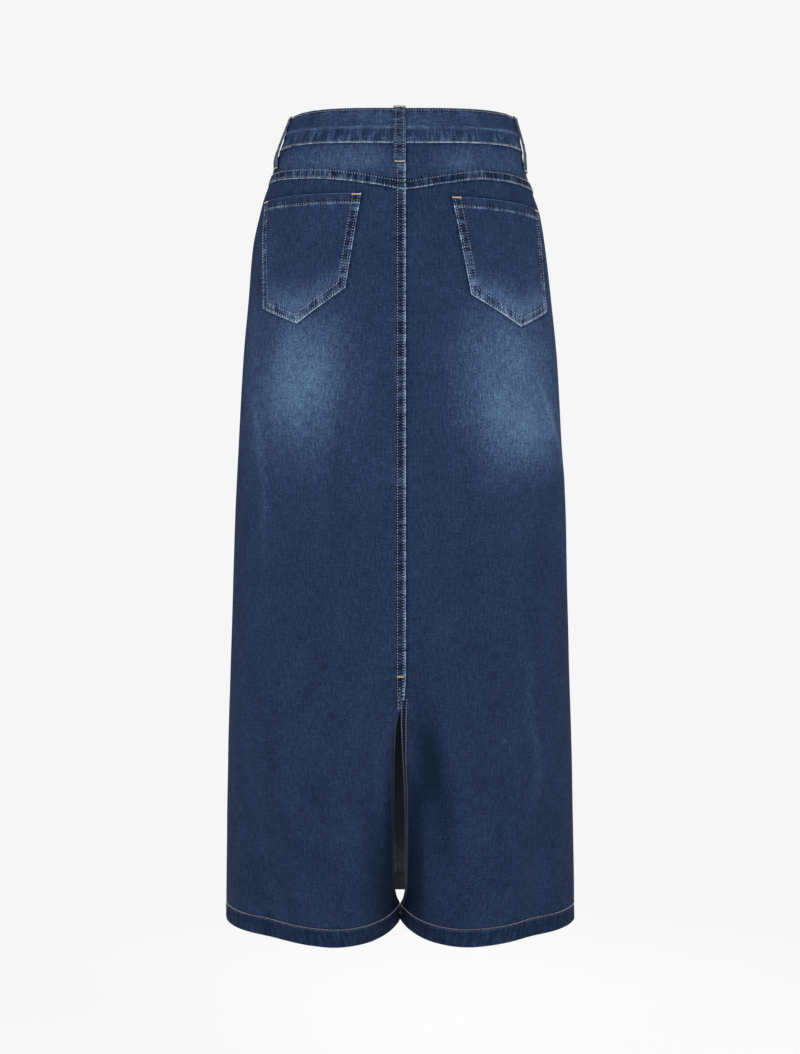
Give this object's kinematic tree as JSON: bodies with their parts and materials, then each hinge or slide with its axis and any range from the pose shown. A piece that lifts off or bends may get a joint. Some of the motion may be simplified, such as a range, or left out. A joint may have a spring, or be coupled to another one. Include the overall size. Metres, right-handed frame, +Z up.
{
  "type": "denim skirt",
  "caption": "Full-length denim skirt with a back slit, curved yoke, patch pockets and belt loops, hollow and upright as worn.",
  "frame": {"origin": "middle of the waist opening, level with the waistband's top edge at the side seams", "axes": "+Z up along the skirt, +Y towards the back with its slit, +X towards the wearer's left"},
  "size_m": [0.415, 0.3025, 0.9454],
  "materials": {
    "denim": "dark blue washed twill",
    "denim_yoke": "washed blue twill",
    "denim_loop": "worn blue twill",
    "zip_tape": "navy woven tape",
    "thread": "pale tan topstitching thread",
    "brass": "aged brass"
  },
  "bodies": {
    "root": {"waistband": "denim_yoke", "back_yoke_left": "denim_yoke", "back_yoke_right": "denim_yoke", "back_panel_left": "denim", "back_panel_right": "denim", "front_panel_left": "denim", "front_panel_right": "denim", "back_pocket_left": "denim", "back_pocket_right": "denim", "belt_loop_back": "denim_loop", "belt_loop_side_left": "denim_loop", "belt_loop_side_right": "denim_loop", "belt_loop_front_left": "denim_loop", "belt_loop_front_right": "denim_loop", "zip": "zip_tape", "zip_slider": "brass", "waist_button": "brass"}
  },
  "joints": []
}
